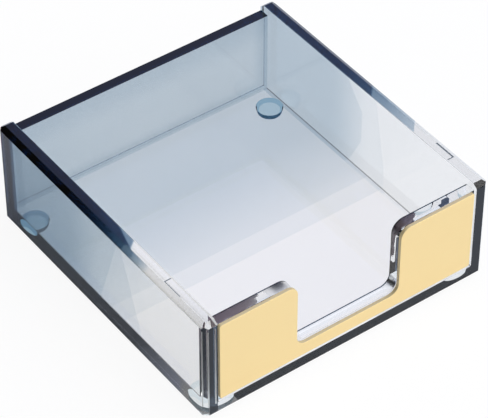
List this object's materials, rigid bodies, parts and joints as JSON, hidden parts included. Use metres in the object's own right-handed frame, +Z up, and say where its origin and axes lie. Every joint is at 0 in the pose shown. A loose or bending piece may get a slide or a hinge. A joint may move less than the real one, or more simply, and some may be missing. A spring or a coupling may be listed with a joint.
{
  "type": "memo pad holder",
  "caption": "Open-topped memo pad tray of thick clear and smoke-tinted plates with bevelled side walls, a finger notch in the front and a thin gold-coloured front facing.",
  "frame": {"origin": "middle of the footprint, on the surface the feet stand on", "axes": "+Z up, +Y from the notched front to the back, +X to the right as seen from the front"},
  "size_m": [0.088, 0.0908, 0.033],
  "materials": {
    "tinted_acrylic": "polished clear acrylic, smoke-blue at the back and fading to clear at the front",
    "smoke_acrylic": "polished clear acrylic with a smoke-blue tint",
    "clear_acrylic": "polished clear acrylic",
    "pale_gold": "smooth pale gold metal",
    "clear_foot": "clear soft elastomer"
  },
  "bodies": {
    "root": {"floor_plate": "tinted_acrylic", "left_wall": "tinted_acrylic", "right_wall": "tinted_acrylic", "back_wall": "smoke_acrylic", "front_panel": "clear_acrylic", "front_facing": "pale_gold", "foot_front_left": "clear_foot", "foot_front_right": "clear_foot", "foot_rear_left": "clear_foot", "foot_rear_right": "clear_foot"}
  },
  "joints": []
}
